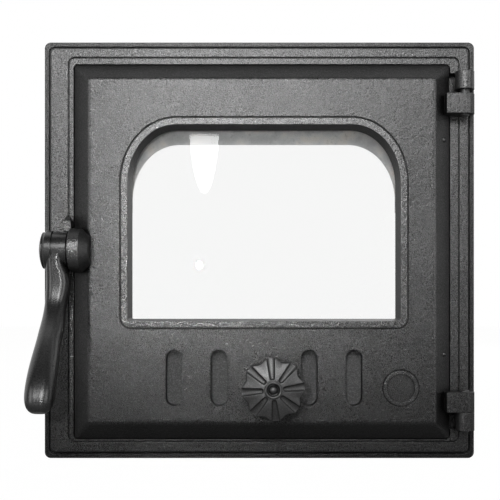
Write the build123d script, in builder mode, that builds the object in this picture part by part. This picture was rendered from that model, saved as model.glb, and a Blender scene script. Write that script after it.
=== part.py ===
import math
import os

from build123d import *

# Lengths are millimetres. X runs to the hinge side and Z up. The origin is the centre
# of the flange's back, and a "height" is a distance from there towards the room, so
# a height h lies at Y = -h.

# Cast frame
frame_width = 285.0
frame_height = 276.0
frame_corner = 4.0
rim_corner = 3.5
field_corner = 3.0
rim_thickness = 4.5
rim_width = 2.8
quirk_width = 1.6
quirk_depth = 1.2
field_thickness = 7.5
field_edge_radius = 0.8

# Rails and stiles, from the frame's edge to the rebate that takes the door
stile_latch = 19.7
stile_hinge = 16.4
rail_top = 15.2
rail_bottom = 12.8
rebate_corner = 2.8
seat_height = 1.5
seat_thickness = 5.0
seat_width = 10.5

# Inner border of the frame and the fine groove round it
border_latch = 2.7
border_hinge = 5.2
border_top = 3.8
border_bottom = 0.9
border_groove_width = 1.1
border_groove_depth = 1.0
border_corner = 4.5
border_inner_corner = 3.5

# Collar behind the flange, and the tapped holes that take screws from behind
collar_depth = 25.0
collar_wall = 5.0
fixing_hole = 5.0
fixing_depth = 6.0
fixing_inset = 9.9
fixing_rise = 58.0

# Door leaf: a bevelled pan
door_gap = 0.8
door_corner = 2.0
leaf_back_height = 2.5
bevel_foot_height = 8.0
bevel_rise = 10.5
bevel_width = 11.0
face_thickness = 5.5
face_edge_radius = 4.0
rim_wall = 3.5
rope_groove_width = 7.0
rope_groove_depth = 5.0
rope_rib = 2.5
rope_corner = 5.0
rope_clearance = 0.1
rope_rounding = 1.8
pan_corner = 4.0

# Arched window
window_margin_latch = 36.4
window_margin_hinge = 33.7
window_margin_top = 41.1
window_margin_bottom = 77.7
shoulder_across = 31.5
shoulder_down = 37.5
window_foot_radius = 2.0
smallest_foot_radius = 0.6
window_draft = 1.2
moulding_width = 4.2
moulding_proud = 0.5
moulding_groove = 1.1
moulding_groove_depth = 1.0

# Glass and what holds it
glass_thickness = 4.0
glass_overlap = 5.0
glass_clearance = 0.8
glass_edge = 0.4
boss_wall = 3.0
boss_back_height = -1.0
gasket_thickness = 2.0
gasket_setback = 0.8
clip_thickness = 1.5
clip_width = 10.0
clip_lip = 4.0
clip_tail = 0.7
clip_joggle = 2.0
clip_joggle_gap = 1.0
clip_ear_radius = 5.5
clip_ear_offset = 14.5
clip_upper_share = 0.71698
clip_lower_share = 0.17758

# Air slots, with the middle place left plain for the knob
slot_width = 10.8
slot_length = 36.5
slot_pitch = 29.2
slot_drop = 18.6
slot_places = (-2, -1, 1, 2)

# Sliding damper on a flat pad behind the slots
slide_pad = 3.0
plate_thickness = 2.0
plate_corner = 2.0
plate_margin = 3.0
plate_end_margin = 3.4
slide_overlap = 2.2
slide_clearance = 0.3
guide_foot = 5.7
guide_lip = 2.0
guide_back = 1.5
guide_corner = 0.8
guide_screw_inset = 12.0

# Stud and flower-shaped knob
stud_diameter = 6.0
stud_slot_clearance = 0.4
stud_head_diameter = 14.0
stud_head_thickness = 2.5
stud_head_rounding = 1.0
stud_thread_play = 0.02
stud_short = 7.5
knob_offset = 5.4
knob_drop = 5.1
knob_radius = 19.7
knob_waist_radius = 17.9
knob_thickness = 20.0
knob_stand_off = 30.0
knob_dome = 4.6
knob_turned = 5.0
knob_lobes = 8
knob_shank_radius = 9.0
knob_washer_thickness = 1.5
knob_washer_radius = 12.0
knob_lobe_reach = 0.9
knob_back_edge = 2.0
knob_blank = 0.5
knob_ring_radius = 4.9
knob_ring_wall = 1.5
knob_ring_proud = 0.6
knob_ring_floor = 1.2
knob_ball_radius = 2.4
knob_ball_gap = 0.6
flute_start = 8.6
flute_length = 14.0
flute_radius = 2.9
flute_depth = 1.5
flute_dip = 15.0

# Plain medallion and the two casting pips on the hinge-side bevel
medallion_radius = 11.4
medallion_ring = 2.2
medallion_proud = 0.5
medallion_rim = 0.7
medallion_sunk = 0.5
medallion_margin_hinge = 33.5
medallion_rise = 34.2
pip_radius = 1.6
pip_sunk = 0.5
pip_inset = 4.4
pip_upper_drop = 50.0
pip_lower_rise = 55.8

# Hinges: frame barrels outside, door knuckles between them
pin_diameter = 6.0
pin_clearance = 0.05
pin_inset = 8.3
barrel_radius = 6.2
barrel_clearance = 0.3
barrel_length = 11.8
knuckle_length = 12.9
knuckle_root = 3.9
upper_barrel_drop = 27.7
upper_gap = 3.2
lower_barrel_rise = 25.9
lower_gap = 0.3
pin_proud = 1.2
pin_chamfer = 0.6
hinge_pocket_height = 2.0
hinge_pocket_inset = 3.2
hinge_pocket_gap = 0.6
pocket_corner = 0.5

# Latch handle on the door's free edge
handle_rise = 123.4
pivot_stand_off = 13.0
lug_radius = 14.0
lug_width = 12.5
lug_sunk = 0.2
lug_barrel = 7.0
lug_fall = 5.0
hub_radius = 12.0
hub_width = 14.9
hub_disc_radius = 12.8
hub_disc_width = 5.4
hub_edge = 1.2
neck_width = 12.8
washer_thickness = 1.2
washer_radius = 8.5
side_play = 0.15
bolt_diameter = 8.0
bolt_clearance = 0.05
bolt_head_radius = 11.8
bolt_head_thickness = 3.4
bolt_head_edge = 1.0
bolt_depth = 9.0
bolt_end_gap = 0.5
bolt_play = 0.02
nose_radius = 17.3
nose_width = 3.8
nose_front = 7.8
nose_start = 6.0
nose_depth = 12.0
nose_heel = 9.0
nose_toe = 2.0
keeper_width = 5.1
keeper_lip_gap = 0.5
keeper_reach = 9.5
keeper_top = 23.5
keeper_bevel = 4.0
keeper_hub_gap = 0.9
latch_pocket_height = 2.8
latch_pocket_down = 12.5
latch_pocket_up = 13.5

# Screws
screw_head_spread = 0.9
screw_head_rise = 0.6
screw_head_bevel = 0.35
screw_slot_width = 0.24
screw_slot_depth = 0.5
screw_slot_turn = 35.0
screw_hole_play = 0.2
clip_screw_diameter = 4.0
clip_screw_length = 8.0
guide_screw_diameter = 3.0
deflector_screw_diameter = 5.0
deflector_screw_length = 9.0

# Steel deflector that leads air down over the back of the glass
deflector_thickness = 1.5
deflector_corner = 3.0
deflector_drop = 9.0
deflector_leg = 7.0
deflector_leg_end = 46.0
deflector_rise = 22.0
pillar_radius = 5.0
pillar_inset = 25.0
pillar_rise = 16.5
pillar_back_height = -5.5


def facing(height):
    """Plane parallel to the door, drawn as seen from the room."""
    return Plane.XZ.offset(height)


def grown(box, by):
    """Rectangle given by its four sides, moved outwards by one distance."""
    left, right, bottom, top = box
    return (left - by, right + by, bottom - by, top + by)


def panel(box, corner, mode=Mode.ADD):
    """Rounded rectangle between four sides, in the open sketch."""
    left, right, bottom, top = box
    with Locations(((left + right) / 2, (bottom + top) / 2)):
        RectangleRounded(right - left, top - bottom, corner, mode=mode)


def arch(box, by=0.0, mode=Mode.ADD):
    """Window outline with deep shoulders and tight feet, grown by one distance."""
    left, right, bottom, top = grown(box, by)
    across = shoulder_across + by
    down = shoulder_down + by
    foot = max(window_foot_radius + by, smallest_foot_radius)
    with BuildLine() as outline:
        Line((left + foot, bottom), (right - foot, bottom))
        CenterArc((right - foot, bottom + foot), foot, 270, 90)
        Line((right, bottom + foot), (right, top - down))
        EllipticalCenterArc((right - across, top - down), across, down, 0)
        Line((right - across, top), (left + across, top))
        EllipticalCenterArc((left + across, top - down), across, down, 90)
        Line((left, top - down), (left, bottom + foot))
        CenterArc((left + foot, bottom + foot), foot, 180, 90)
    make_face(outline.edges(), mode=mode)


# Four-sided boxes that the pieces share: left, right, bottom, top
frame_box = (-frame_width / 2, frame_width / 2, -frame_height / 2, frame_height / 2)
rebate_box = (
    frame_box[0] + stile_latch,
    frame_box[1] - stile_hinge,
    frame_box[2] + rail_bottom,
    frame_box[3] - rail_top,
)
throat_box = grown(rebate_box, -seat_width)
border_box = (
    rebate_box[0] - border_latch - border_groove_width,
    rebate_box[1] + border_hinge + border_groove_width,
    rebate_box[2] - border_bottom - border_groove_width,
    rebate_box[3] + border_top + border_groove_width,
)
door_box = grown(rebate_box, -door_gap)
door_left, door_right, door_bottom, door_top = door_box
face_box = grown(door_box, -bevel_width)
face_height = bevel_foot_height + bevel_rise
face_back_height = face_height - face_thickness
groove_outer_box = grown(door_box, -rim_wall)
groove_inner_box = grown(groove_outer_box, -rope_groove_width)
pan_box = grown(groove_inner_box, -rope_rib)
window_box = (
    door_left + window_margin_latch,
    door_right - window_margin_hinge,
    door_bottom + window_margin_bottom,
    door_top - window_margin_top,
)
window_left, window_right, window_bottom, window_top = window_box
window_x = (window_left + window_right) / 2

# Glass stack, from its seat in the leaf to the clips
glass_pocket = glass_overlap + glass_clearance
boss_grow = glass_pocket + boss_wall
glass_back_height = boss_back_height - clip_thickness
glass_front_height = glass_back_height + glass_thickness
glass_seat_height = glass_front_height + gasket_thickness
jamb = window_top - shoulder_down - window_bottom
clip_places = [
    (side - inwards * clip_ear_offset, window_bottom + jamb * share, inwards)
    for side, inwards in ((window_left, 1), (window_right, -1))
    for share in (clip_upper_share, clip_lower_share)
]
pillar_places = [
    (window_left + pillar_inset, window_top + pillar_rise),
    (window_right - pillar_inset, window_top + pillar_rise),
]

# Damper, stud and knob
slot_z = window_bottom - slot_drop - slot_length / 2
slot_centres = [(window_x + slot_pitch * place_number, slot_z) for place_number in slot_places]
damper_travel = slot_width + slide_overlap
plate_reach = slot_pitch * max(slot_places) + slot_width / 2 + plate_end_margin
plate_box = (
    window_x - plate_reach,
    window_x + plate_reach + damper_travel,
    slot_z - slot_length / 2 - plate_margin,
    slot_z + slot_length / 2 + plate_margin,
)
slide_seat_height = face_back_height - slide_pad
plate_front_height = slide_seat_height - slide_clearance
plate_back_height = plate_front_height - plate_thickness
stud_x = window_x + knob_offset
stud_z = slot_z - knob_drop
knob_front_height = face_height + knob_stand_off
knob_back_height = knob_front_height - knob_thickness
knob_seat_height = face_height + slide_clearance + knob_washer_thickness
stud_end_height = knob_front_height - stud_short

# Hinge line and handle pivot
pin_x = frame_box[1] - pin_inset
pin_height = field_thickness + barrel_radius + barrel_clearance
barrel_foot_x = pin_x + (barrel_radius - hinge_pocket_inset) / 2
upper_barrel_z = frame_box[3] - upper_barrel_drop
lower_barrel_z = frame_box[2] + lower_barrel_rise
upper_knuckle_z = upper_barrel_z - barrel_length / 2 - upper_gap - knuckle_length / 2
lower_knuckle_z = lower_barrel_z + barrel_length / 2 + lower_gap + knuckle_length / 2
pivot_z = door_bottom + handle_rise
pivot_height = field_thickness + pivot_stand_off
hub_right = door_left - washer_thickness - side_play
hub_left = hub_right - hub_width
lug_root_height = bevel_foot_height - lug_sunk
lug_front_height = pivot_height + lug_radius


# Latch keeper: a hooked tooth with a gabled top, cast on the frame's stile
keeper_right = rebate_box[0]
keeper_left = keeper_right - keeper_width
keeper_back = -latch_pocket_height
keeper_front = -(field_thickness + keeper_reach)
lip_back = -(pivot_height - nose_front + keeper_lip_gap)
lip_bottom = pivot_z + hub_radius + keeper_hub_gap
nose_top = pivot_z + (nose_radius**2 - nose_front**2) ** 0.5
with BuildPart() as keeper:
    with BuildSketch(Plane.YZ.offset(keeper_left)):
        with BuildLine():
            Polyline(
                (keeper_back, pivot_z + keeper_top),
                (keeper_back, nose_top + keeper_lip_gap),
                (lip_back, nose_top + keeper_lip_gap),
                (lip_back, lip_bottom),
                (keeper_front, lip_bottom),
                (keeper_front, pivot_z + keeper_top - keeper_bevel),
                (keeper_front + keeper_bevel, pivot_z + keeper_top),
                close=True,
            )
        make_face()
    extrude(amount=keeper_width)
    with BuildSketch(facing(0)):
        with BuildLine():
            Polyline(
                (keeper_left, lip_bottom),
                (keeper_right, lip_bottom),
                (keeper_right, pivot_z + keeper_top - keeper_bevel),
                ((keeper_left + keeper_right) / 2, pivot_z + keeper_top),
                (keeper_left, pivot_z + keeper_top - keeper_bevel),
                close=True,
            )
        make_face()
    extrude(amount=-keeper_front, mode=Mode.INTERSECT)


# Cast frame: flange with rim and raised field, rebate and seat, collar and barrels
with BuildPart() as surround_frame:
    with BuildSketch(facing(0)):
        panel(frame_box, frame_corner)
    extrude(amount=rim_thickness)
    with BuildSketch(facing(0)):
        panel(grown(frame_box, -rim_width - quirk_width), field_corner)
    extrude(amount=field_thickness)
    fillet(surround_frame.edges().group_by(Axis.Y)[0], field_edge_radius)
    with BuildSketch(facing(rim_thickness)):
        panel(grown(frame_box, -rim_width), rim_corner)
        panel(grown(frame_box, -rim_width - quirk_width), field_corner, Mode.SUBTRACT)
    extrude(amount=-quirk_depth, mode=Mode.SUBTRACT)
    with BuildSketch(facing(field_thickness)):
        panel(border_box, border_corner)
        panel(grown(border_box, -border_groove_width), border_inner_corner, Mode.SUBTRACT)
    extrude(amount=-border_groove_depth, mode=Mode.SUBTRACT)
    with BuildSketch(facing(seat_height)):
        panel(rebate_box, rebate_corner)
    extrude(amount=field_thickness, mode=Mode.SUBTRACT)
    with BuildSketch(facing(0)):
        panel(throat_box, rebate_corner)
    extrude(amount=field_thickness, mode=Mode.SUBTRACT)
    with BuildSketch(facing(0)):
        panel(rebate_box, rebate_corner)
        panel(grown(rebate_box, -collar_wall), rebate_corner, Mode.SUBTRACT)
    extrude(amount=-collar_depth)
    with BuildSketch(facing(seat_height)):
        panel(rebate_box, rebate_corner)
        panel(throat_box, rebate_corner, Mode.SUBTRACT)
    extrude(amount=-seat_thickness)
    for barrel_z in (upper_barrel_z, lower_barrel_z):
        with BuildSketch(facing(hinge_pocket_height)):
            panel(
                (
                    rebate_box[1] - pocket_corner,
                    pin_x - hinge_pocket_inset,
                    barrel_z - barrel_length / 2 - hinge_pocket_gap,
                    barrel_z + barrel_length / 2 + hinge_pocket_gap,
                ),
                pocket_corner,
            )
        extrude(amount=field_thickness, mode=Mode.SUBTRACT)
        with BuildSketch(Plane.XY.offset(barrel_z - barrel_length / 2)):
            with Locations((pin_x, -pin_height)):
                Circle(barrel_radius)
            with Locations((barrel_foot_x, -(pin_height + hinge_pocket_height) / 2)):
                Rectangle(barrel_radius + hinge_pocket_inset, pin_height - hinge_pocket_height)
        extrude(amount=barrel_length)
        with BuildSketch(Plane.XY.offset(barrel_z - barrel_length / 2)):
            with Locations((pin_x, -pin_height)):
                Circle(pin_diameter / 2)
        extrude(amount=barrel_length, mode=Mode.SUBTRACT)
    with BuildSketch(facing(latch_pocket_height)):
        panel(
            (
                keeper_left - slide_clearance,
                rebate_box[0] + pocket_corner,
                pivot_z - latch_pocket_down,
                pivot_z + latch_pocket_up,
            ),
            pocket_corner,
        )
    extrude(amount=field_thickness, mode=Mode.SUBTRACT)
    add(keeper.part)
    with BuildSketch(facing(0)):
        with GridLocations(frame_width - 2 * fixing_inset, frame_height - 2 * fixing_rise, 2, 2):
            Circle(fixing_hole / 2)
    extrude(amount=fixing_depth, mode=Mode.SUBTRACT)


# Hinge pins, pressed into the frame's barrels
with BuildPart() as hinge_pin_upper:
    with BuildSketch(Plane.XY.offset(upper_knuckle_z - knuckle_length / 2 - pin_proud)):
        with Locations((pin_x, -pin_height)):
            Circle(pin_diameter / 2)
    extrude(amount=knuckle_length + upper_gap + barrel_length + 2 * pin_proud)
    chamfer(hinge_pin_upper.edges().filter_by(GeomType.CIRCLE), pin_chamfer)

with BuildPart() as hinge_pin_lower:
    with BuildSketch(Plane.XY.offset(lower_barrel_z - barrel_length / 2 - pin_proud)):
        with Locations((pin_x, -pin_height)):
            Circle(pin_diameter / 2)
    extrude(amount=knuckle_length + lower_gap + barrel_length + 2 * pin_proud)
    chamfer(hinge_pin_lower.edges().filter_by(GeomType.CIRCLE), pin_chamfer)


# Lug on the latch edge of the leaf: a barrel on a block, falling away to the face
with BuildPart() as handle_lug:
    with BuildSketch(Plane.YZ.offset(door_left)):
        with Locations((-pivot_height, pivot_z)):
            Circle(lug_radius)
        with Locations((-(pivot_height + lug_root_height) / 2, pivot_z)):
            Rectangle(pivot_height - lug_root_height, 2 * lug_radius)
        with Locations((-(lug_front_height + lug_root_height) / 2, pivot_z)):
            Rectangle(lug_front_height - lug_root_height, 2 * lug_radius, mode=Mode.INTERSECT)
    extrude(amount=lug_width)
    lug_end = handle_lug.faces().sort_by(Axis.X)[-1]
    chamfer(
        lug_end.edges().filter_by(GeomType.CIRCLE),
        lug_fall,
        lug_width - lug_barrel,
        reference=lug_end,
    )


# Door leaf: bevelled pan with window boss, slots, lug, knuckles and rope groove
with BuildPart() as door_leaf:
    with BuildSketch(facing(leaf_back_height)):
        panel(door_box, door_corner)
    extrude(amount=bevel_foot_height - leaf_back_height)
    with BuildSketch(facing(bevel_foot_height)):
        panel(door_box, door_corner)
    with BuildSketch(facing(face_height)):
        panel(face_box, door_corner)
    loft()
    fillet(door_leaf.faces().sort_by(Axis.Y)[0].edges(), face_edge_radius)
    with BuildSketch(facing(leaf_back_height)):
        panel(pan_box, pan_corner)
    extrude(amount=face_back_height - leaf_back_height, mode=Mode.SUBTRACT)
    with BuildSketch(facing(leaf_back_height)):
        panel(groove_outer_box, rope_corner)
        panel(groove_inner_box, pan_corner, Mode.SUBTRACT)
    extrude(amount=rope_groove_depth, mode=Mode.SUBTRACT)
    with BuildSketch(facing(face_back_height)):
        arch(window_box, boss_grow)
        for clip_x, clip_z, _ in clip_places:
            with Locations((clip_x, clip_z)):
                Circle(clip_ear_radius)
    extrude(amount=boss_back_height - face_back_height)
    with BuildSketch(facing(face_back_height)):
        with Locations(*pillar_places):
            Circle(pillar_radius)
    extrude(amount=pillar_back_height - face_back_height)
    with BuildSketch(facing(face_back_height)):
        panel(grown(plate_box, slide_clearance + guide_foot), pan_corner)
    extrude(amount=-slide_pad)
    with BuildSketch(facing(face_height)):
        arch(window_box, moulding_width)
    extrude(amount=moulding_proud)
    with BuildSketch(facing(face_height)):
        arch(window_box, moulding_width + moulding_groove)
        arch(window_box, moulding_width, Mode.SUBTRACT)
    extrude(amount=-moulding_groove_depth, mode=Mode.SUBTRACT)
    with BuildSketch(facing(glass_seat_height)):
        arch(window_box, -window_draft)
    with BuildSketch(facing(face_height + moulding_proud)):
        arch(window_box)
    loft(mode=Mode.SUBTRACT)
    with BuildSketch(facing(glass_seat_height)):
        arch(window_box, glass_pocket)
    extrude(amount=boss_back_height - glass_seat_height, mode=Mode.SUBTRACT)
    with BuildSketch(facing(slide_seat_height)):
        with Locations(*slot_centres):
            SlotOverall(slot_length, slot_width, rotation=90)
        with Locations((stud_x - damper_travel / 2, stud_z)):
            SlotOverall(
                damper_travel + stud_diameter + 2 * stud_slot_clearance,
                stud_diameter + 2 * stud_slot_clearance,
            )
    extrude(amount=face_thickness + slide_pad, mode=Mode.SUBTRACT)
    medallion_centre = (door_right - medallion_margin_hinge, door_bottom + medallion_rise)
    with BuildSketch(facing(face_height)):
        with Locations(medallion_centre):
            Circle(medallion_radius + medallion_rim)
    extrude(amount=-medallion_sunk, mode=Mode.SUBTRACT)
    with BuildSketch(facing(face_height - medallion_sunk)):
        with Locations(medallion_centre):
            Circle(medallion_radius)
            Circle(medallion_radius - medallion_ring, mode=Mode.SUBTRACT)
    extrude(amount=medallion_sunk + medallion_proud)
    add(handle_lug.part)
    with Locations((door_left, -pivot_height, pivot_z)):
        with Locations(Rotation(0, 90, 0)):
            Cylinder(
                bolt_diameter / 2,
                bolt_depth,
                align=(Align.CENTER, Align.CENTER, Align.MIN),
                mode=Mode.SUBTRACT,
            )
    for knuckle_z in (upper_knuckle_z, lower_knuckle_z):
        with BuildSketch(Plane.XY.offset(knuckle_z - knuckle_length / 2)):
            with Locations((pin_x, -pin_height)):
                Circle(barrel_radius)
            with Locations(((door_right - knuckle_root + pin_x) / 2, -pin_height)):
                Rectangle(pin_x - door_right + knuckle_root, 2 * barrel_radius)
        extrude(amount=knuckle_length)
        with BuildSketch(Plane.XY.offset(knuckle_z - knuckle_length / 2)):
            with Locations((pin_x, -pin_height)):
                Circle(pin_diameter / 2 + pin_clearance)
        extrude(amount=knuckle_length, mode=Mode.SUBTRACT)
    pip_height = bevel_foot_height + pip_inset * bevel_rise / bevel_width - pip_sunk
    for pip_z in (door_top - pip_upper_drop, door_bottom + pip_lower_rise):
        with Locations((door_right - pip_inset, -pip_height, pip_z)):
            Sphere(pip_radius)
    with BuildSketch(facing(boss_back_height)):
        for clip_x, clip_z, _ in clip_places:
            with Locations((clip_x, clip_z)):
                Circle(clip_screw_diameter / 2)
    extrude(amount=clip_screw_length, mode=Mode.SUBTRACT)
    with BuildSketch(facing(pillar_back_height)):
        with Locations(*pillar_places):
            Circle(deflector_screw_diameter / 2)
    extrude(amount=deflector_screw_length, mode=Mode.SUBTRACT)


# Sealing rope round the back of the leaf
with BuildPart() as door_seal_rope:
    with BuildSketch(facing(leaf_back_height + rope_groove_depth)):
        panel(grown(groove_outer_box, -rope_clearance), rope_corner)
        panel(grown(groove_inner_box, rope_clearance), pan_corner, Mode.SUBTRACT)
    extrude(amount=-(leaf_back_height + rope_groove_depth - seat_height - slide_clearance))
    fillet(door_seal_rope.edges().group_by(Axis.Y)[-1], rope_rounding)


# Ceramic glass with its gasket
with BuildPart() as glass_gasket:
    with BuildSketch(facing(glass_front_height)):
        arch(window_box, glass_overlap)
        arch(window_box, gasket_setback, Mode.SUBTRACT)
    extrude(amount=gasket_thickness)

with BuildPart() as glass_pane:
    with BuildSketch(facing(glass_back_height)):
        arch(window_box, glass_overlap)
    extrude(amount=glass_thickness)
    chamfer(glass_pane.edges().group_by(Axis.Y)[0], glass_edge)


# Joggled spring clips, one for each ear of the window boss
glass_clips = []
for clip_x, clip_z, inwards in clip_places:
    edge_reach = abs(clip_x - (window_left if inwards > 0 else window_right)) - glass_overlap
    with BuildPart() as glass_clip:
        with BuildSketch(Plane.XY.offset(clip_z - clip_width / 2)):
            with BuildLine():
                foot_y = -boss_back_height
                lip_y = -glass_back_height
                joggle = edge_reach - clip_joggle_gap
                outline = [
                    (clip_tail - clip_ear_radius, foot_y),
                    (joggle - clip_joggle, foot_y),
                    (joggle, lip_y),
                    (edge_reach + clip_lip, lip_y),
                    (edge_reach + clip_lip, lip_y + clip_thickness),
                    (joggle - clip_tail, lip_y + clip_thickness),
                    (joggle - clip_joggle - clip_tail, foot_y + clip_thickness),
                    (clip_tail - clip_ear_radius, foot_y + clip_thickness),
                ]
                Polyline([(clip_x + inwards * x, y) for x, y in outline], close=True)
            make_face()
        extrude(amount=clip_width)
        with BuildSketch(facing(boss_back_height)):
            with Locations((clip_x, clip_z)):
                Circle(clip_screw_diameter / 2 + screw_hole_play)
        extrude(amount=-clip_thickness, mode=Mode.SUBTRACT)
    glass_clips.append(glass_clip.part)


def screws(places, seat, diameter, length):
    """Slotted screws driven towards the room, with their heads on one seat."""
    head_thickness = diameter * screw_head_rise
    with BuildPart() as group:
        with BuildSketch(facing(seat)):
            with Locations(*places):
                Circle(diameter / 2)
        extrude(amount=length)
        with BuildSketch(facing(seat)):
            with Locations(*places):
                Circle(diameter * screw_head_spread)
        extrude(amount=-head_thickness)
        chamfer(group.edges().group_by(Axis.Y)[-1], head_thickness * screw_head_bevel)
        with BuildSketch(facing(seat - head_thickness)):
            with Locations(*places):
                Rectangle(2 * diameter, diameter * screw_slot_width, rotation=screw_slot_turn)
        extrude(amount=head_thickness * screw_slot_depth, mode=Mode.SUBTRACT)
    return group.part


glass_clip_screws = screws(
    [(clip_x, clip_z) for clip_x, clip_z, _ in clip_places],
    boss_back_height - clip_thickness,
    clip_screw_diameter,
    clip_screw_length,
)


# Air deflector behind the head of the glass, on two cast pillars
with BuildPart() as air_wash_deflector:
    with BuildSketch(facing(pillar_back_height)):
        panel(
            (
                window_left - deflector_leg,
                window_right + deflector_leg,
                window_top - deflector_drop - deflector_leg_end,
                window_top + deflector_rise,
            ),
            deflector_corner,
        )
        arch(
            (window_left, window_right, window_bottom, window_top - deflector_drop),
            0,
            Mode.SUBTRACT,
        )
        with Locations(*pillar_places):
            Circle(deflector_screw_diameter / 2 + screw_hole_play, mode=Mode.SUBTRACT)
    extrude(amount=-deflector_thickness)

deflector_screws = screws(
    pillar_places,
    pillar_back_height - deflector_thickness,
    deflector_screw_diameter,
    deflector_screw_length,
)


# Damper plate with a window for each slot, held by two rebated guide bars
with BuildPart() as damper_plate:
    with BuildSketch(facing(plate_front_height)):
        panel(plate_box, plate_corner)
        with Locations(*[(slot_x + damper_travel, z) for slot_x, z in slot_centres]):
            SlotOverall(slot_length, slot_width, rotation=90, mode=Mode.SUBTRACT)
        with Locations((stud_x, stud_z)):
            Circle(stud_diameter / 2, mode=Mode.SUBTRACT)
    extrude(amount=-plate_thickness)

guides = []
guide_screw_places = []
track = guide_lip + 2 * slide_clearance
guide_height = plate_thickness + 2 * slide_clearance
for plate_edge, outwards in ((plate_box[3], 1), (plate_box[2], -1)):
    foot_z = plate_edge + outwards * (slide_clearance + guide_foot)
    lip_z = plate_edge - outwards * guide_lip
    with BuildPart() as damper_guide:
        with BuildSketch(facing(slide_seat_height)):
            panel(
                (plate_box[0], plate_box[1], min(foot_z, lip_z), max(foot_z, lip_z)),
                guide_corner,
            )
        extrude(amount=-guide_height - guide_back)
        with BuildSketch(facing(slide_seat_height)):
            with Locations((window_x, plate_edge + outwards * (slide_clearance - track / 2))):
                Rectangle(frame_width, track)
        extrude(amount=-guide_height, mode=Mode.SUBTRACT)
        screw_z = plate_edge + outwards * (slide_clearance + guide_foot / 2)
        ends = [
            (plate_box[0] + guide_screw_inset, screw_z),
            (plate_box[1] - guide_screw_inset, screw_z),
        ]
        with BuildSketch(facing(slide_seat_height)):
            with Locations(*ends):
                Circle(guide_screw_diameter / 2 + screw_hole_play)
        extrude(amount=-guide_height - guide_back, mode=Mode.SUBTRACT)
    guides.append(damper_guide.part)
    guide_screw_places.extend(ends)
damper_guide_upper, damper_guide_lower = guides

guide_seat_height = slide_seat_height - guide_height - guide_back
damper_guide_screws = screws(
    guide_screw_places,
    guide_seat_height,
    guide_screw_diameter,
    guide_back + guide_height,
)


# Stud riveted through the damper plate, its washer, and the knob that clamps it
with BuildPart() as damper_stud:
    with BuildSketch(facing(plate_back_height)):
        with Locations((stud_x, stud_z)):
            Circle(stud_diameter / 2 - stud_thread_play)
    extrude(amount=stud_end_height - knob_blank - plate_back_height)
    with BuildSketch(facing(plate_back_height)):
        with Locations((stud_x, stud_z)):
            Circle(stud_head_diameter / 2)
    extrude(amount=-stud_head_thickness)
    fillet(damper_stud.edges().group_by(Axis.Y)[-1], stud_head_rounding)

with BuildPart() as knob_washer:
    with BuildSketch(facing(face_height + slide_clearance)):
        with Locations((stud_x, stud_z)):
            Circle(knob_washer_radius)
            Circle(stud_diameter / 2 + screw_hole_play, mode=Mode.SUBTRACT)
    extrude(amount=knob_washer_thickness)

# One flute cutter: a round-nosed bar that lies along the knob's domed face
with BuildPart() as flute:
    with BuildSketch(Plane.YZ):
        Circle(flute_radius)
    extrude(amount=flute_length)
    Sphere(flute_radius)

with BuildPart() as knob_form:
    waist = knob_waist_radius
    blank_radius = knob_radius + knob_blank
    dome_radius = (blank_radius**2 + knob_dome**2) / (2 * knob_dome)
    dome_angle = math.degrees(math.asin(blank_radius / dome_radius))
    lobe_tip = Vector(knob_radius + knob_lobe_reach, 0).rotate(Axis.Z, 180 / knob_lobes)
    hollow_centre = (lobe_tip.X**2 + lobe_tip.Y**2 - waist**2) / (2 * (lobe_tip.X - waist))
    with BuildSketch():
        Circle(knob_radius + knob_lobe_reach)
        with PolarLocations(hollow_centre, knob_lobes, start_angle=180 / knob_lobes):
            Circle(hollow_centre - waist, mode=Mode.SUBTRACT)
        Circle(knob_radius, mode=Mode.INTERSECT)
    extrude(amount=knob_thickness)
    with BuildSketch(Plane.XZ):
        with BuildLine():
            Polyline(
                (0, knob_thickness),
                (0, 0),
                (blank_radius - knob_back_edge, 0),
                (blank_radius, knob_back_edge),
                (blank_radius, knob_thickness - knob_dome),
            )
            CenterArc((0, knob_thickness - dome_radius), dome_radius, 90 - dome_angle, dome_angle)
        make_face()
    revolve(axis=Axis.Z, mode=Mode.INTERSECT)
    with PolarLocations(flute_start, knob_lobes):
        with Locations((0, 0, knob_thickness + flute_radius - flute_depth)):
            with Locations(Rotation(0, flute_dip, 0)):
                add(flute.part, mode=Mode.SUBTRACT)
    with BuildSketch(Plane.XZ):
        with BuildLine():
            Polyline(
                (0, knob_thickness - knob_dome),
                (knob_ring_radius, knob_thickness - knob_dome),
                (knob_ring_radius, knob_thickness + knob_ring_proud),
                (knob_ring_radius - knob_ring_wall, knob_thickness + knob_ring_proud),
                (knob_ball_radius + knob_ball_gap, knob_thickness - knob_ring_floor),
                (0, knob_thickness - knob_ring_floor),
                close=True,
            )
        make_face()
    revolve(axis=Axis.Z)
    with Locations((0, 0, knob_thickness + knob_ring_proud - knob_ball_radius)):
        Sphere(knob_ball_radius)
    with BuildSketch():
        Circle(knob_shank_radius)
    extrude(amount=knob_seat_height - knob_back_height)
    with BuildSketch(Plane.XY.offset(knob_seat_height - knob_back_height)):
        Circle(stud_diameter / 2)
    extrude(amount=stud_end_height - knob_seat_height, mode=Mode.SUBTRACT)

with BuildPart() as damper_knob:
    knob_plane = Plane(
        origin=(stud_x, -knob_back_height, stud_z),
        x_dir=Vector(1, 0, 0).rotate(Axis.Y, -knob_turned),
        z_dir=(0, -1, 0),
    )
    with Locations(knob_plane):
        add(knob_form.part)


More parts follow.
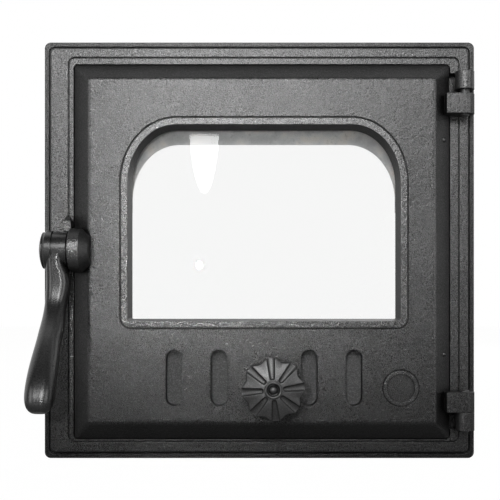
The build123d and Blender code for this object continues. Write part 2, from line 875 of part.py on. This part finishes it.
# Handle pivot: bolt with a wide domed head, and the washer between hub and lug
with BuildPart() as handle_pivot_bolt:
    head_left = hub_left - side_play
    bolt_end = door_left + bolt_depth - bolt_end_gap
    dome_rise = bolt_head_thickness - bolt_head_edge
    dome_radius = (bolt_head_radius**2 + dome_rise**2) / (2 * dome_rise)
    dome_angle = math.degrees(math.asin(bolt_head_radius / dome_radius))
    with BuildSketch(Plane.XZ.offset(pivot_height)):
        with BuildLine():
            Polyline(
                (head_left - bolt_head_thickness, pivot_z),
                (bolt_end, pivot_z),
                (bolt_end, pivot_z + bolt_diameter / 2 - bolt_play),
                (head_left, pivot_z + bolt_diameter / 2 - bolt_play),
                (head_left, pivot_z + bolt_head_radius),
                (head_left - bolt_head_edge, pivot_z + bolt_head_radius),
            )
            CenterArc(
                (head_left - bolt_head_thickness + dome_radius, pivot_z),
                dome_radius,
                180 - dome_angle,
                dome_angle,
            )
        make_face()
    revolve(axis=Axis((0, -pivot_height, pivot_z), (1, 0, 0)))

with BuildPart() as handle_washer:
    with BuildSketch(Plane.YZ.offset(hub_right)):
        with Locations((-pivot_height, pivot_z)):
            Circle(washer_radius)
            Circle(bolt_diameter / 2 + screw_hole_play, mode=Mode.SUBTRACT)
    extrude(amount=washer_thickness)


# Handle: hub with latch nose, faceted neck and a grip swept forward to a bulb
grip_x = hub_right - side_play - neck_width / 2
grip_sections = [
    # forward of the pivot, below it, tilt, shift to the hinge side, width, depth, corner
    (4.5, 2.0, 0, 0.0, neck_width, 14.5, 4.6),
    (4.5, 12.5, 0, 0.0, neck_width, 14.8, 4.6),
    (5.0, 21.5, 4, 1.1, neck_width + 2.2, 14.6, 5.2),
    (7.0, 32.0, 18, 0.4, neck_width + 0.8, 14.2, 5.0),
    (14.0, 44.0, 40, 0.1, neck_width + 0.8, 13.2, 5.0),
    (23.5, 54.0, 45, 0.0, 14.4, 13.0, 5.2),
    (36.0, 66.8, 44, 0.0, 16.0, 13.8, 6.0),
    (48.0, 81.5, 34, 0.0, 17.6, 14.8, 6.6),
    (53.0, 91.5, 22, 0.0, 17.0, 14.6, 6.6),
    (54.6, 96.0, 18, 0.0, 13.8, 11.8, 5.4),
    (55.3, 98.2, 18, 0.0, 8.6, 7.2, 3.4),
]
with BuildPart() as hub_disc:
    with BuildSketch():
        Circle(hub_disc_radius)
    extrude(amount=hub_disc_width)
    chamfer(hub_disc.edges().group_by(Axis.Z)[0], hub_edge)

with BuildPart() as latch_handle:
    for forward, below, tilt, shift, width, depth, corner in grip_sections:
        centre = (grip_x + shift, -pivot_height - forward, pivot_z - below)
        along = Vector(0, 0, -1).rotate(Axis.X, -tilt)
        with BuildSketch(Plane(origin=centre, x_dir=(1, 0, 0), z_dir=along)):
            RectangleRounded(width, depth, corner)
    loft()
    with BuildSketch(Plane.YZ.offset(hub_left)):
        with Locations((-pivot_height, pivot_z)):
            Circle(hub_radius)
    extrude(amount=hub_width)
    with Locations(Plane(origin=(hub_left, -pivot_height, pivot_z), z_dir=(1, 0, 0))):
        add(hub_disc.part)
    with BuildSketch(Plane.YZ.offset(hub_right)):
        with Locations((-pivot_height, pivot_z)):
            Circle(nose_radius)
        with BuildLine():
            front_y = nose_front - pivot_height
            nose_clear = pivot_z + nose_radius + nose_width
            Polyline(
                (front_y, pivot_z + nose_start),
                (front_y, nose_clear),
                (front_y + nose_depth, nose_clear),
                (front_y + nose_depth, pivot_z + nose_heel),
                (front_y + nose_toe, pivot_z + nose_toe),
                close=True,
            )
        make_face(mode=Mode.INTERSECT)
    extrude(amount=-nose_width)
    with BuildSketch(Plane.YZ.offset(hub_left)):
        with Locations((-pivot_height, pivot_z)):
            Circle(bolt_diameter / 2 + bolt_clearance)
    extrude(amount=hub_width, mode=Mode.SUBTRACT)


pieces = {
    "surround_frame": surround_frame.part,
    "hinge_pin_upper": hinge_pin_upper.part,
    "hinge_pin_lower": hinge_pin_lower.part,
    "door_leaf": door_leaf.part,
    "door_seal_rope": door_seal_rope.part,
    "glass_pane": glass_pane.part,
    "glass_gasket": glass_gasket.part,
    "glass_clip_screws": glass_clip_screws,
    "air_wash_deflector": air_wash_deflector.part,
    "deflector_screws": deflector_screws,
    "damper_plate": damper_plate.part,
    "damper_guide_upper": damper_guide_upper,
    "damper_guide_lower": damper_guide_lower,
    "damper_guide_screws": damper_guide_screws,
    "damper_stud": damper_stud.part,
    "knob_washer": knob_washer.part,
    "damper_knob": damper_knob.part,
    "handle_pivot_bolt": handle_pivot_bolt.part,
    "handle_washer": handle_washer.part,
    "latch_handle": latch_handle.part,
}
for number, clip in enumerate(glass_clips, 1):
    pieces[f"glass_clip_{number}"] = clip

os.makedirs("parts", exist_ok=True)
for name, piece in pieces.items():
    piece.label = name
    export_step(piece, f"parts/{name}.step")
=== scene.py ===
import math

import bmesh
import bpy
from mathutils import Matrix, Vector


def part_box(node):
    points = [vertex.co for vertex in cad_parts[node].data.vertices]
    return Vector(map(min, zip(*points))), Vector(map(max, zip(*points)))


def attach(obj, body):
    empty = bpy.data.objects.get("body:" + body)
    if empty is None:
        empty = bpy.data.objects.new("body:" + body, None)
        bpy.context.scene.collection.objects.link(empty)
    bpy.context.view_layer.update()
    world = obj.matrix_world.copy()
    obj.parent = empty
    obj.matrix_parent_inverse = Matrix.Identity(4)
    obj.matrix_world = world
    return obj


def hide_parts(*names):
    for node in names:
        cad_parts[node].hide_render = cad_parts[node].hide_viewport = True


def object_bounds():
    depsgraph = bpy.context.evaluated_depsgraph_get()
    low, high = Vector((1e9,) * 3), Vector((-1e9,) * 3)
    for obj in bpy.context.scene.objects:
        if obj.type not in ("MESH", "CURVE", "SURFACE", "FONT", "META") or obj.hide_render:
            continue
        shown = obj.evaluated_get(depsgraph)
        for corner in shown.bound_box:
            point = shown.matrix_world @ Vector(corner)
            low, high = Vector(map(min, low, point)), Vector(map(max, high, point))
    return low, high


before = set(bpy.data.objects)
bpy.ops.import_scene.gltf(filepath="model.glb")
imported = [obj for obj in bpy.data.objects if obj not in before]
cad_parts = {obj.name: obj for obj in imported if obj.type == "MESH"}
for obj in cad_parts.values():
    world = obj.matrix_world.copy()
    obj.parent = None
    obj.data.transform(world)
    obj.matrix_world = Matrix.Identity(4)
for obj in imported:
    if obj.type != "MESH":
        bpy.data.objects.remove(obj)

cad_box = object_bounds()


class Value:
    """A shader socket that takes part in ordinary arithmetic."""

    def __init__(self, graph, socket):
        self.graph = graph
        self.socket = socket

    def maths(self, operation, *others):
        node = self.graph.tree.nodes.new("ShaderNodeMath")
        node.operation = operation
        for slot, value in zip(node.inputs, (self, *others)):
            self.graph.feed(slot, value)
        return Value(self.graph, node.outputs[0])

    def __add__(self, other):
        return self.maths("ADD", other)

    __radd__ = __add__

    def __mul__(self, other):
        return self.maths("MULTIPLY", other)

    __rmul__ = __mul__

    def __sub__(self, other):
        return self.maths("SUBTRACT", other)

    def __rsub__(self, other):
        return self * -1.0 + other

    def __pow__(self, other):
        return self.maths("POWER", other)

    def __abs__(self):
        return self.maths("ABSOLUTE")

    def sine(self):
        return self.maths("SINE")

    def at_least(self, other):
        return self.maths("MAXIMUM", other)

    def at_most(self, other):
        return self.maths("MINIMUM", other)

    def above(self, other):
        return self.maths("GREATER_THAN", other)

    def rise(self, low, high):
        """Smooth step from 0 at low to 1 at high."""
        settings = {"interpolation_type": "SMOOTHSTEP"}
        inputs = {"Value": self, "From Min": low, "From Max": high}
        return self.graph.node("ShaderNodeMapRange", settings, inputs).out("Result")


class Node:
    """A shader node whose outputs come as values."""

    def __init__(self, graph, made):
        self.graph = graph
        self.made = made

    def out(self, name):
        return Value(self.graph, self.made.outputs[name])


class Finish:
    """The nodes of one material, or of the world."""

    def __init__(self, owner):
        self.owner = owner
        owner.use_nodes = True
        self.tree = owner.node_tree
        self.tree.nodes.clear()

    def feed(self, slot, value):
        if isinstance(value, Value):
            self.tree.links.new(value.socket, slot)
        else:
            slot.default_value = value

    def node(self, kind, settings=None, inputs=None):
        made = self.tree.nodes.new(kind)
        for name, value in (settings or {}).items():
            setattr(made, name, value)
        for name, value in (inputs or {}).items():
            self.feed(made.inputs[name], value)
        return Node(self, made)

    def place(self):
        return self.node("ShaderNodeTexCoord").out("Object")

    def split(self, vector):
        parts = self.node("ShaderNodeSeparateXYZ", None, {"Vector": vector})
        return parts.out("X"), parts.out("Y"), parts.out("Z")

    def noise(self, place, scale, detail=2.0, roughness=0.5):
        inputs = {"Vector": place, "Scale": scale, "Detail": detail, "Roughness": roughness}
        return self.node("ShaderNodeTexNoise", None, inputs).out("Fac")

    def cells(self, place, scale):
        inputs = {"Vector": place, "Scale": scale}
        return self.node("ShaderNodeTexVoronoi", None, inputs).out("Distance")

    def tint(self, factor, first, second):
        made = self.node("ShaderNodeMix", {"data_type": "RGBA"}, {"Factor": factor}).made
        self.feed(made.inputs[6], first)
        self.feed(made.inputs[7], second)
        return Value(self, made.outputs[2])

    def soft_edge(self, radius):
        settings = {"samples": 6}
        return self.node("ShaderNodeBevel", settings, {"Radius": radius}).out("Normal")

    def open_to_air(self, reach):
        """1 where nothing stands within reach, falling towards 0 in a crevice."""
        settings = {"samples": 6, "only_local": True}
        node = self.node("ShaderNodeAmbientOcclusion", settings, {"Distance": reach})
        return node.out("AO")

    def bump(self, height, depth, under=None):
        inputs = {"Height": height, "Distance": depth}
        if under:
            inputs["Normal"] = under
        return self.node("ShaderNodeBump", None, inputs).out("Normal")

    def mixed(self, factor, first, second):
        made = self.node("ShaderNodeMixShader", None, {"Fac": factor}).made
        self.feed(made.inputs[1], first)
        self.feed(made.inputs[2], second)
        return Value(self, made.outputs[0])

    def surface(self, shader, kind="ShaderNodeOutputMaterial"):
        output = self.node(kind)
        self.feed(output.made.inputs["Surface"], shader)
        return self.owner

    def principled(self, inputs):
        return self.surface(self.node("ShaderNodeBsdfPrincipled", None, inputs).out("BSDF"))


def material(name):
    return Finish(bpy.data.materials.new(name))


def grey(level, warm=0.0):
    return (level * (1 + warm), level, level * (1 - warm), 1.0)


frame_half_width_mm = 142.5
frame_half_height_mm = 138.0
rim_width_mm = (2.4, 3.4)
hinge_side = 0.118
crevice_shade_reach = 0.0045
worn_edge = 0.0006


def cast_paint(name, level, roughness, grain, metallic, flake, sides, low_shade=0.0, proud_from=1.0):
    """Graphite stove paint over a sand-cast skin, rubbed on its edges and baked behind.

    level is the paint's grey and grain the depth of its skin in metres. The three strengths after
    metallic set the pale flakes, the painted shade on slopes and the painted shade low down.
    Faces more than proud_from metres in front of the flange's back are wiped paler.
    """
    finish = material(name)
    place = finish.place()
    rounded = finish.soft_edge(worn_edge)
    flat = finish.node("ShaderNodeNewGeometry").out("Normal")
    meeting = finish.node("ShaderNodeVectorMath", {"operation": "DOT_PRODUCT"}).made
    finish.feed(meeting.inputs[0], rounded)
    finish.feed(meeting.inputs[1], flat)
    # Painted shade: the paint darkens where the occlusion probe finds a crevice, standing in for
    # the shade in grooves and corners.
    crevice_shade = 1.0 - finish.open_to_air(crevice_shade_reach).rise(0.4, 0.95)
    rubbed = (1.0 - Value(finish, meeting.outputs["Value"])).rise(0.02, 0.25)
    rubbed = rubbed * (1.0 - (crevice_shade * 2.5).at_most(1.0))
    sand = finish.noise(place, 1500.0, 2.0, 0.6)
    peel = finish.noise(place, 560.0, 2.0, 0.6)
    cloud = finish.noise(place, 26.0, 3.0, 0.6)
    pit = finish.cells(place, 520.0).rise(0.0, 0.32)
    speck = finish.noise(place, 1350.0, 1.0).rise(0.6, 0.72)
    across, depth, up = finish.split(place)
    proud = (0.0 - depth).rise(proud_from, proud_from + 0.0002)
    wiped = proud * (1.0 - across.above(hinge_side))
    _, facing_back, _ = finish.split(finish.node("ShaderNodeTexCoord").out("Normal"))
    behind = facing_back.rise(0.2, 0.8) * cloud.rise(0.3, 0.6)
    worn_through = 0.25 + 0.4 * sand
    from_side = frame_half_width_mm - abs(across * 1000.0)
    from_end = frame_half_height_mm - abs(up * 1000.0)
    on_rim = 1.0 - from_side.at_most(from_end).rise(*rim_width_mm)
    # Painted shade: faces turned sideways, such as bevels, slopes and the knob's sides, are
    # darkened for the little light they catch.
    slope_shade = (1.0 - abs(facing_back).rise(0.45, 0.97)) * sides
    # Painted shade: the paint darkens towards the bottom, standing in for light that falls off
    # downwards.
    low_shade_mask = (1.0 - up.rise(-0.12, -0.04)) * low_shade
    shade = finish.tint(cloud.rise(0.35, 0.65), grey(level * 0.76), grey(level * 0.94))
    coats = (
        (sand.rise(0.46, 0.66) * flake, grey(level * 1.75)),
        (speck * flake * 0.6, grey(level * 2.4)),
        (behind * 0.7, grey(level * 1.3, 0.09)),
        (wiped * worn_through, grey(level * 2.1)),
        (rubbed * worn_through, grey(level * 2.8)),
        (on_rim * 0.55, grey(level * 0.35)),
        (slope_shade, grey(level * 0.3)),
        (low_shade_mask, grey(level * 0.2)),
        (crevice_shade * 0.9, grey(level * 0.14)),
    )
    for share, tone in coats:
        shade = finish.tint(share, shade, tone)
    skin = sand + peel * 1.5 + pit * 0.04 + speck * 0.2
    return finish.principled({
        "Base Color": shade,
        "Metallic": metallic + 0.3 * rubbed,
        "Roughness": (
            roughness + 0.22 * (sand - 0.5) + 0.12 * behind - 0.08 * rubbed - 0.03 * wiped
            + 0.4 * slope_shade
        ),
        "Normal": finish.bump(skin, grain, rounded),
    })


def rolled_steel(name, level, roughness, metallic, heat=0.0):
    """Satin sheet or bar: fine scratches, a little bloom, straw tint where it runs hot."""
    finish = material(name)
    place = finish.place()
    bloom = finish.noise(place, 70.0, 4.0, 0.6)
    scratch = finish.noise(place, 1300.0, 2.0, 0.6)
    spot = finish.noise(place, 420.0, 2.0).rise(0.58, 0.72)
    shade = finish.tint(bloom.rise(0.35, 0.7), grey(level * 0.78), grey(level * 1.15))
    shade = finish.tint(bloom.rise(0.45, 0.75) * heat, shade, grey(level * 0.85, 0.14))
    shade = finish.tint(spot * 0.35, shade, grey(level * 0.55, 0.04))
    return finish.principled({
        "Base Color": shade,
        "Metallic": metallic,
        "Roughness": roughness + 0.16 * scratch + 0.1 * spot,
        "Normal": finish.bump(scratch + 0.6 * bloom, 0.00005, finish.soft_edge(0.0003)),
    })


def clear_glass(name, mirror_share=0.04):
    """Polished ceramic glass: mostly let through, with a mirror's share that grows at a slant."""
    finish = material(name)
    clear = {"Color": (0.997, 0.999, 0.997, 1.0)}
    through = finish.node("ShaderNodeBsdfTransparent", None, clear).out("BSDF")
    mirror = finish.node("ShaderNodeBsdfGlossy", None, {"Roughness": 0.004}).out("BSDF")
    grazing = finish.node("ShaderNodeLayerWeight", None, {"Blend": 0.5}).out("Facing")
    mirrored = mirror_share + (1.0 - mirror_share) * grazing**5.0
    return finish.surface(finish.mixed(mirrored, through, mirror))


row_waves = 900.0
stitch_waves = 2300.0


def knitted_fibre(name, level, run_box):
    """Knitted ceramic fibre: stitches lean in pairs along the run, felted by heat."""
    finish = material(name)
    place = finish.place()
    x, y, z = finish.split(place)
    left, right, bottom, top = run_box
    across_x = abs(x - (left + right) / 2) - (right - left) / 2
    across_z = abs(z - (bottom + top) / 2) - (top - bottom) / 2
    on_side = across_x.above(across_z)
    along = on_side * z + (1.0 - on_side) * x
    across = across_x.at_least(across_z)
    lean = abs(((across + y * 0.5) * row_waves).sine())
    stitch = (along * stitch_waves + lean * 3.2).sine() * 0.5 + 0.5
    fluff = finish.noise(place, 1100.0, 3.0, 0.7)
    soil = finish.noise(place, 40.0, 3.0, 0.6).rise(0.4, 0.7)
    weave = stitch * 0.6 + fluff * 0.4
    shade = finish.tint(weave, grey(level * 0.5, 0.03), grey(level * 1.2, 0.04))
    shade = finish.tint(soil * 0.5, shade, grey(level * 0.4, 0.06))
    return finish.principled({
        "Base Color": shade,
        "Roughness": 0.93,
        "Normal": finish.bump(stitch + 0.5 * fluff, 0.0005),
    })


frame_paint = cast_paint(
    "frame_paint", level=0.1, roughness=0.29, grain=0.00016, metallic=0.88, flake=1.0,
    sides=0.35, low_shade=0.5,
)
leaf_paint = cast_paint(
    "leaf_paint", level=0.1, roughness=0.29, grain=0.00016, metallic=0.88, flake=1.0,
    sides=0.8, low_shade=0.5, proud_from=0.01865,
)
handle_paint = cast_paint(
    "handle_paint", level=0.1, roughness=0.3, grain=0.00002, metallic=0.88, flake=0.2, sides=0.0,
)
knob_paint = cast_paint(
    "knob_paint", level=0.145, roughness=0.4, grain=0.00006, metallic=0.88, flake=0.3, sides=0.85,
)
plate_paint = cast_paint(
    "damper_paint", level=0.09, roughness=0.48, grain=0.0002, metallic=0.6, flake=0.8, sides=0.0,
)
dark_steel = rolled_steel("blackened_steel", level=0.14, roughness=0.34, metallic=0.9)
bright_steel = rolled_steel(
    "aluminised_steel", level=0.74, roughness=0.46, metallic=0.5, heat=0.6,
)
# Left, right, bottom and top of the sealing rope's middle line, in metres
rope_run = (-0.1150, 0.1183, -0.1174, 0.1150)
rope = knitted_fibre("rope_fibre", 0.42, rope_run)
glass = clear_glass("ceramic_glass")

finishes = {
    "surround_frame": frame_paint,
    "door_leaf": leaf_paint,
    "damper_plate": plate_paint,
    "damper_knob": knob_paint,
    "latch_handle": handle_paint,
    "handle_pivot_bolt": handle_paint,
    "glass_pane": glass,
    "glass_gasket": rope,
    "door_seal_rope": rope,
    "air_wash_deflector": bright_steel,
    "glass_clip_1": bright_steel,
    "glass_clip_2": bright_steel,
    "glass_clip_3": bright_steel,
    "glass_clip_4": bright_steel,
}
for name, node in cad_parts.items():
    node.data.materials.clear()
    node.data.materials.append(finishes.get(name, dark_steel))


def linked(data, name):
    made = bpy.data.objects.new(name, data)
    bpy.context.scene.collection.objects.link(made)
    return made


def finished(form, name, finish, body, node):
    """Close the seams, turn the faces outwards and let the piece stand for a CAD node."""
    bmesh.ops.remove_doubles(form, verts=form.verts, dist=0.00001)
    bmesh.ops.dissolve_degenerate(form, edges=form.edges, dist=0.000002)
    bmesh.ops.recalc_face_normals(form, faces=form.faces)
    for face in form.faces:
        face.smooth = True
    mesh = bpy.data.meshes.new(name)
    form.to_mesh(mesh)
    form.free()
    mesh.materials.append(finish)
    made = linked(mesh, name)
    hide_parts(node)
    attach(made, body)


def smooth_step(value, low, high):
    share = min(max((value - low) / (high - low), 0.0), 1.0)
    return share * share * (3.0 - 2.0 * share)


# Fluted knob, in millimetres: a turned blank with eight lobes and eight round-nosed flutes.
# Radius first, then height over the blank's lower face.
knob_radius = 19.7
shank_radius = 9.0
seat_height = -8.12
bore_radius = 3.05
bore_end = 12.2
dome_foot = (19.1, 16.3)
ring_foot = (5.4, 19.3)
face_reach = 13.7
dome_curve = 1.6
ball_middle = 17.5
ball_radius = 3.0
flute_depth = 2.0
flute_nose = 7.6
flute_half_width = 1.45
flute_flare = 1.3
flute_from_height = 1.5
lobe_hollow = 0.1
lobe_from_height = -0.5
round_core = 5.5
petals = 8
petal_turn = math.radians(5)
turning_steps = 384
# How far the blank's lower face stands in front of the CAD knob's back, in metres
shank_length = 0.0082


def dome_height(radius):
    share = (radius - ring_foot[0]) / (dome_foot[0] - ring_foot[0])
    return ring_foot[1] + (dome_foot[1] - ring_foot[1]) * share**dome_curve


def knob_profile():
    """From the seat's bore out along the shank, over the rim and the dome, up to the ball."""
    shank = [(bore_radius, seat_height), (8.5, seat_height), (shank_radius, -7.6),
             (shank_radius, -1.2), (9.4, -0.4), (10.2, 0.0)]
    shoulder = [(13.5, 0.0), (17.2, 0.0), (18.2, 0.3), (18.8, 1.0), (19.0, 2.0)]
    wall = [(19.0 + 0.7 * step / 14, 2.0 + 13.2 * step / 14) for step in range(1, 15)]
    rim = [(19.62, 15.7), (19.4, 16.1)]
    radii = [dome_foot[0] - face_reach * step / 44 for step in range(45)]
    dome = [(radius, dome_height(radius)) for radius in radii]
    ring = [(5.32, 20.1), (5.15, 20.45), (4.8, 20.6), (4.35, 20.55), (4.05, 20.3),
            (3.9, 19.8), (3.75, 18.9), (3.45, 18.5), (3.05, 18.4)]
    leans = [math.radians(lean) for lean in (72, 62, 52, 42, 32, 22, 12, 5, 0)]
    ball = [
        (ball_radius * math.sin(lean), ball_middle + ball_radius * math.cos(lean))
        for lean in leans
    ]
    return shank + shoulder + wall + rim + dome + ring + ball


def fluted_knob():
    form = bmesh.new()
    verts = [form.verts.new((radius, 0.0, height)) for radius, height in knob_profile()]
    edges = [form.edges.new(pair) for pair in zip(verts, verts[1:])]
    bore = [form.verts.new((bore_radius, 0.0, bore_end)), form.verts.new((0.0, 0.0, bore_end))]
    edges += [form.edges.new((verts[0], bore[0])), form.edges.new(bore)]
    bmesh.ops.spin(
        form, geom=verts + bore + edges, cent=(0, 0, 0), axis=(0, 0, 1), angle=2 * math.pi,
        steps=turning_steps, use_merge=True,
    )
    for vert in form.verts:
        radius = math.hypot(vert.co.x, vert.co.y)
        if radius < round_core or vert.co.z < lobe_from_height:
            continue
        turn = math.atan2(vert.co.y, vert.co.x)
        off = (turn * petals / (2 * math.pi) + 0.5) % 1.0 - 0.5
        hollow = smooth_step(abs(off) * 2, 0.22, 1.0)
        spread = max(radius - shank_radius, 0.0) / (knob_radius - shank_radius)
        if vert.co.z > flute_from_height:
            beside = abs(math.sin(off * 2 * math.pi / petals)) * radius
            width = flute_half_width + flute_flare * (radius - 6.0) / face_reach
            away = math.hypot(beside, max(flute_nose - radius, 0.0)) / width
            cut = flute_depth * (0.75 + 0.25 * spread) * max(1.0 - away**2.6, 0.0) ** 0.55
            if cut > 0.0:
                top = dome_height(min(radius, dome_foot[0]))
                vert.co.z = min(vert.co.z, top - cut)
        shrink = 1.0 - lobe_hollow * hollow * spread
        vert.co.x *= shrink
        vert.co.y *= shrink
    bmesh.ops.scale(form, verts=form.verts, vec=(0.001, 0.001, 0.001))
    bmesh.ops.rotate(form, verts=form.verts, matrix=Matrix.Rotation(petal_turn, 3, "Z"))
    bmesh.ops.rotate(form, verts=form.verts, matrix=Matrix.Rotation(math.pi / 2, 3, "X"))
    low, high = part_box("damper_knob")
    middle = (low + high) / 2
    spot = (middle.x, high.y - shank_length, middle.z)
    bmesh.ops.translate(form, verts=form.verts, vec=spot)
    return form


finished(fluted_knob(), "fluted_knob", knob_paint, "knob", "damper_knob")

# Braided rope laid round its groove, pressed to the CAD rope's section. The middle line's
# corners are tighter than the rope's half width, so its inner side folds a little there.
rope_corner = 0.0026
rope_half_width = 0.0033
rope_sides = 32
strand_repeats = 186
strand_steps = 8
strands_around = 4
strand_relief = 0.26


def pressed(share):
    """Rounded-square section: the share of a sine or cosine, pushed outwards."""
    return math.copysign(abs(share) ** 0.75, share)


def braided_rope():
    left, right, bottom, top = rope_run
    low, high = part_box("door_seal_rope")
    half_depth = (high.y - low.y) / 2
    middle_depth = (high.y + low.y) / 2
    sides = (right - left - 2 * rope_corner, top - bottom - 2 * rope_corner)
    bend = rope_corner * math.pi / 2
    run = 2 * (sides[0] + sides[1]) + 4 * bend
    corners = (
        (right - rope_corner, bottom + rope_corner), (right - rope_corner, top - rope_corner),
        (left + rope_corner, top - rope_corner), (left + rope_corner, bottom + rope_corner),
    )

    def at(gone):
        """Place and outward direction on the run, gone metres from the start."""
        for number, corner in enumerate(corners):
            heading = number * math.pi / 2
            out = Vector((math.sin(heading), -math.cos(heading)))
            along = Vector((-out.y, out.x))
            side = sides[number % 2]
            if gone <= side:
                start = Vector(corner) + out * rope_corner - along * (side - gone)
                return start, out
            gone -= side
            if gone <= bend:
                angle = gone / rope_corner
                out = out * math.cos(angle) + along * math.sin(angle)
                return Vector(corner) + out * rope_corner, out
            gone -= bend
        return at(0.0)

    form = bmesh.new()
    steps = strand_repeats * strand_steps
    bmesh.ops.create_grid(form, x_segments=steps, y_segments=rope_sides, size=1.0)
    for vert in form.verts:
        share = (vert.co.x + 1) / 2
        turn = (vert.co.y + 1) * math.pi
        place, out = at(share * run)
        lay = share * strand_repeats * math.pi
        twist = turn * strands_around / 2
        strand = max(abs(math.cos(lay + twist)), abs(math.cos(lay - twist)))
        reach = 1.0 - strand_relief * (1.0 - strand)
        spot = place + out * (pressed(math.cos(turn)) * rope_half_width * reach)
        deep = pressed(math.sin(turn)) * half_depth * reach
        vert.co = (spot.x, middle_depth + deep, spot.y)
    return form


finished(braided_rope(), "braided_seal_rope", rope, "door", "door_seal_rope")


def softbox(name, place, width, height, radiance, target=(0.0, 0.0, 0.0), shape="RECTANGLE"):
    """Area lamp aimed at target, whose brightness doesn't depend on its size."""
    lamp = bpy.data.lights.new(name, "AREA")
    lamp.shape = shape
    lamp.size = width
    lamp.size_y = height
    lamp.energy = radiance * width * height * math.pi
    made = linked(lamp, name)
    made.location = place
    aim = Vector(target) - Vector(place)
    made.rotation_euler = aim.to_track_quat("-Z", "Y").to_euler()
    made.visible_camera = False


softbox("key_softbox", (-0.06, -1.3, 0.64), width=0.74, height=0.46, radiance=7.9)
softbox(
    "small_lamp", (-0.078, -0.62, 0.014), width=0.005, height=0.006, radiance=5800.0,
    target=(-0.02, 0.0, 0.0), shape="ELLIPSE",
)
softbox(
    "window_strip", (-0.104, -1.2, 0.33), width=0.06, height=0.3, radiance=6.0,
    target=(-0.04, 0.0, 0.06), shape="ELLIPSE",
)
softbox("back_softbox", (0.5, 1.3, 0.7), width=0.8, height=0.8, radiance=3.6)
softbox("left_softbox", (-1.15, -1.05, 0.4), width=0.7, height=0.9, radiance=2.0)
softbox("right_softbox", (1.15, -1.05, 0.4), width=0.7, height=0.9, radiance=2.0)

# White background, also for mirrors that look to the back. The room in front stays dim.
room_strength = 0.04
world = bpy.data.worlds.new("studio")
bpy.context.scene.world = world
studio = Finish(world)
path = studio.node("ShaderNodeLightPath")
_, away, _ = studio.split(studio.node("ShaderNodeTexCoord").out("Generated"))
mirrored = path.out("Is Glossy Ray") * away.rise(-0.1, 0.15)
shown = (path.out("Is Camera Ray") + path.out("Is Transmission Ray") + mirrored).at_most(1.0)
dim = studio.node(
    "ShaderNodeBackground", None, {"Color": grey(1.0), "Strength": room_strength},
)
white = studio.node("ShaderNodeBackground", None, {"Color": grey(1.0), "Strength": 1.0})
sky = studio.mixed(shown, dim.out("Background"), white.out("Background"))
studio.surface(sky, "ShaderNodeOutputWorld")

# Pale floor under the frame's lower edge. Mirrors see it only behind and far to the sides.
floor_gap = 0.0005
floor_half_size = 3.0
floor_grey = 0.4
floor_glow = 1.07
glow_share = 0.92
mirrored_share = 0.45
floor_form = bmesh.new()
bmesh.ops.create_grid(floor_form, x_segments=1, y_segments=1, size=floor_half_size)
bmesh.ops.translate(floor_form, verts=floor_form.verts, vec=(0, 0, cad_box[0][2] - floor_gap))
floor_mesh = bpy.data.meshes.new("floor")
floor_form.to_mesh(floor_mesh)
floor_form.free()
floor = linked(floor_mesh, "floor")
floor_finish = material("pale_floor")
floor_path = floor_finish.node("ShaderNodeLightPath")
floor_across, floor_depth, _ = floor_finish.split(floor_finish.place())
beyond = floor_depth.rise(0.05, 0.6).at_least(abs(floor_across).rise(0.3, 0.7))
mirrored_floor = floor_path.out("Is Glossy Ray") * beyond * mirrored_share
seen_floor = (floor_path.out("Is Camera Ray") + mirrored_floor).at_most(1.0)
lit = floor_finish.node("ShaderNodeBsdfDiffuse", None, {"Color": grey(floor_grey)}).out("BSDF")
glow = floor_finish.node(
    "ShaderNodeEmission", None, {"Color": grey(1.0), "Strength": floor_glow},
).out("Emission")
floor_mix = floor_finish.mixed(seen_floor * glow_share, lit, glow)
floor_mesh.materials.append(floor_finish.surface(floor_mix))

camera_data = bpy.data.cameras.new("camera")
camera_data.sensor_width = 36.0
camera_data.lens = 65.36
camera_data.shift_x = -0.01
camera_data.shift_y = 0.10
camera = linked(camera_data, "camera")
camera.location = (-0.0029, -0.6075, -0.033)
camera.rotation_euler = (math.pi / 2, 0, 0)
scene = bpy.context.scene
scene.camera = camera
scene.view_settings.view_transform = "Standard"
